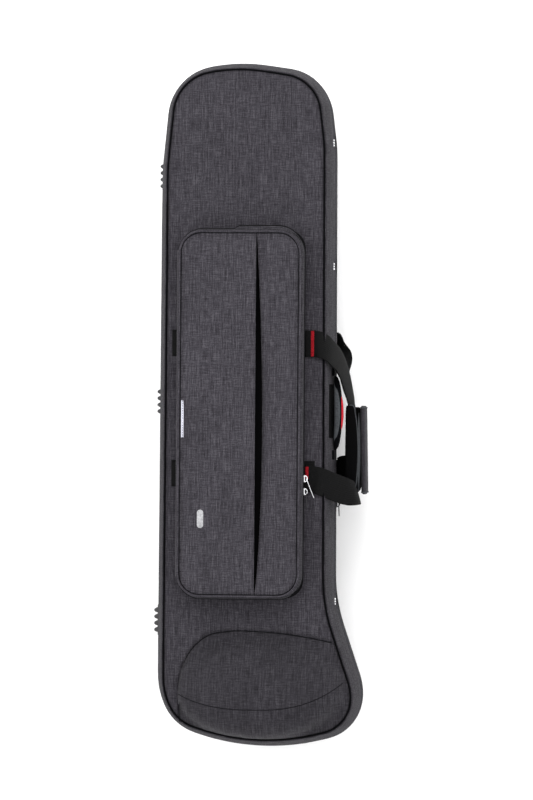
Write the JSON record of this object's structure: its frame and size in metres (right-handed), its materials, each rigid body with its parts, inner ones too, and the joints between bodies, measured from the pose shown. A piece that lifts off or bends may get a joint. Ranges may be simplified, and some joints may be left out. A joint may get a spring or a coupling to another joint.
{
  "type": "trombone case",
  "caption": "Semi-rigid fabric-covered case for a tenor trombone, hinged on its spine, with a raised bell dome, box pocket, ribbed feet and webbing carry handle.",
  "frame": {"origin": "on the flat back face, midway along the length, in line with the middle of the slim section", "axes": "+Y towards the slim end, -Y towards the bell end, +X the handle side, +Z out of the back towards the front of the case"},
  "size_m": [0.306, 0.9726, 0.235],
  "materials": {
    "cover_fabric": "melange woven, matt",
    "pocket_fabric": "melange woven, matt",
    "black_trim": "black piping and padding",
    "foam_shell": "rigid foam",
    "plush_lining": "short plush",
    "zipper_tape": "knitted tape",
    "zipper_coil": "moulded coil",
    "webbing": "ribbed webbing",
    "foot_rubber": "matt rubber",
    "bright_metal": "polished",
    "black_metal": "black",
    "red_thread": "dense stitching",
    "reflective": "reflective strip",
    "badge_print": "plain light print"
  },
  "bodies": {
    "base": {"base_shell": "foam_shell", "base_side_cover": "cover_fabric", "back_cover": "cover_fabric", "back_piping": "black_trim", "base_lining": "plush_lining", "bell_cradle": "plush_lining", "slide_cradle_upper": "plush_lining", "slide_cradle_lower": "plush_lining", "slide_strap": "webbing", "base_zipper_tape": "zipper_tape", "base_zipper_teeth": "zipper_coil", "spine_hinge_strip": "cover_fabric", "foot_upper": "foot_rubber", "foot_middle": "foot_rubber", "foot_lower": "foot_rubber", "back_strap_loop": "webbing", "grip_wrap_inner": "black_trim"},
    "grip_wrap_leaf": {"grip_wrap_outer": "cover_fabric"},
    "lid": {"lid_shell": "foam_shell", "lid_side_cover": "cover_fabric", "lid_front_panel": "cover_fabric", "lid_piping": "black_trim", "bell_dome": "foam_shell", "bell_patch": "cover_fabric", "lid_lining": "plush_lining", "lid_zipper_tape": "zipper_tape", "lid_zipper_teeth": "zipper_coil", "rim_studs": "bright_metal", "side_reinforcement_patch": "black_trim", "side_handle_tabs": "black_trim", "band_upper": "webbing", "band_lower": "webbing", "bartacks": "red_thread", "front_strap_loop": "webbing", "pocket_back_panel": "zipper_tape", "pocket_gusset_fixed": "pocket_fabric", "pocket_zipper_fixed": "zipper_tape"},
    "side_handle": {"side_handle_grip": "cover_fabric", "side_handle_stripe": "red_thread"},
    "pocket_flap": {"pocket_zipper_flap": "zipper_tape", "pocket_gusset_flap": "pocket_fabric", "pocket_panel_left": "pocket_fabric", "pocket_panel_right": "pocket_fabric", "pocket_slip_lining": "zipper_tape", "pocket_piping": "black_trim", "reflective_tab": "reflective", "badge": "badge_print"},
    "main_slider_upper": {"main_slider_upper": "black_metal"},
    "main_pull_upper": {"main_pull_upper": "black_metal"},
    "main_slider_lower": {"main_slider_lower": "black_metal"},
    "main_pull_lower": {"main_pull_lower": "black_metal"},
    "pocket_slider_upper": {"pocket_slider_upper": "black_metal"},
    "pocket_pull_upper": {"pocket_pull_upper": "bright_metal"},
    "pocket_slider_lower": {"pocket_slider_lower": "black_metal"},
    "pocket_pull_lower": {"pocket_pull_lower": "black_metal"}
  },
  "joints": [
    {"name": "lid_hinge", "type": "hinge", "parent": "base", "child": "lid", "pos_m": [-0.1315, 0, 0.105], "axis": [0, -1, 0], "range_deg": [0, 105]},
    {"name": "pocket_open", "type": "hinge", "parent": "lid", "child": "pocket_flap", "pos_m": [-0.095, -0.0125, 0.196], "axis": [0, -1, 0], "range_deg": [0, 95]},
    {"name": "wrap_open", "type": "hinge", "parent": "base", "child": "grip_wrap_leaf", "pos_m": [0.1616, -0.063, 0.065], "axis": [0, 1, 0], "range_deg": [0, 95]},
    {"name": "side_handle_swing", "type": "hinge", "parent": "lid", "child": "side_handle", "pos_m": [0.1195, -0.0105, 0.128], "axis": [0, 1, 0], "range_deg": [-14, 15]},
    {"name": "main_slider_upper_slide", "type": "slide", "parent": "base", "child": "main_slider_upper", "axis": [0, 1, 0], "range_m": [0, 0.1]},
    {"name": "main_slider_lower_slide", "type": "slide", "parent": "base", "child": "main_slider_lower", "axis": [0, 1, 0], "range_m": [-0.02, 0]},
    {"name": "pocket_slider_upper_slide", "type": "slide", "parent": "lid", "child": "pocket_slider_upper", "axis": [0, 1, 0], "range_m": [0, 0.3]},
    {"name": "pocket_slider_lower_slide", "type": "slide", "parent": "lid", "child": "pocket_slider_lower", "axis": [0, 1, 0], "range_m": [-0.1, 0]},
    {"name": "main_pull_upper_swing", "type": "hinge", "parent": "main_slider_upper", "child": "main_pull_upper", "pos_m": [0.12796, -0.112, 0.105], "axis": [0, 0, 1], "range_deg": [0, 26]},
    {"name": "main_pull_lower_swing", "type": "hinge", "parent": "main_slider_lower", "child": "main_pull_lower", "pos_m": [0.12806, -0.14, 0.105], "axis": [0, 0, 1], "range_deg": [0, 100]},
    {"name": "pocket_pull_upper_swing", "type": "hinge", "parent": "pocket_slider_upper", "child": "pocket_pull_upper", "pos_m": [0.0876, -0.103, 0.196], "axis": [0, 0, 1], "range_deg": [-4, 130]},
    {"name": "pocket_pull_lower_swing", "type": "hinge", "parent": "pocket_slider_lower", "child": "pocket_pull_lower", "pos_m": [0.0876, -0.121, 0.196], "axis": [0, 0, 1], "range_deg": [0, 36]}
  ]
}
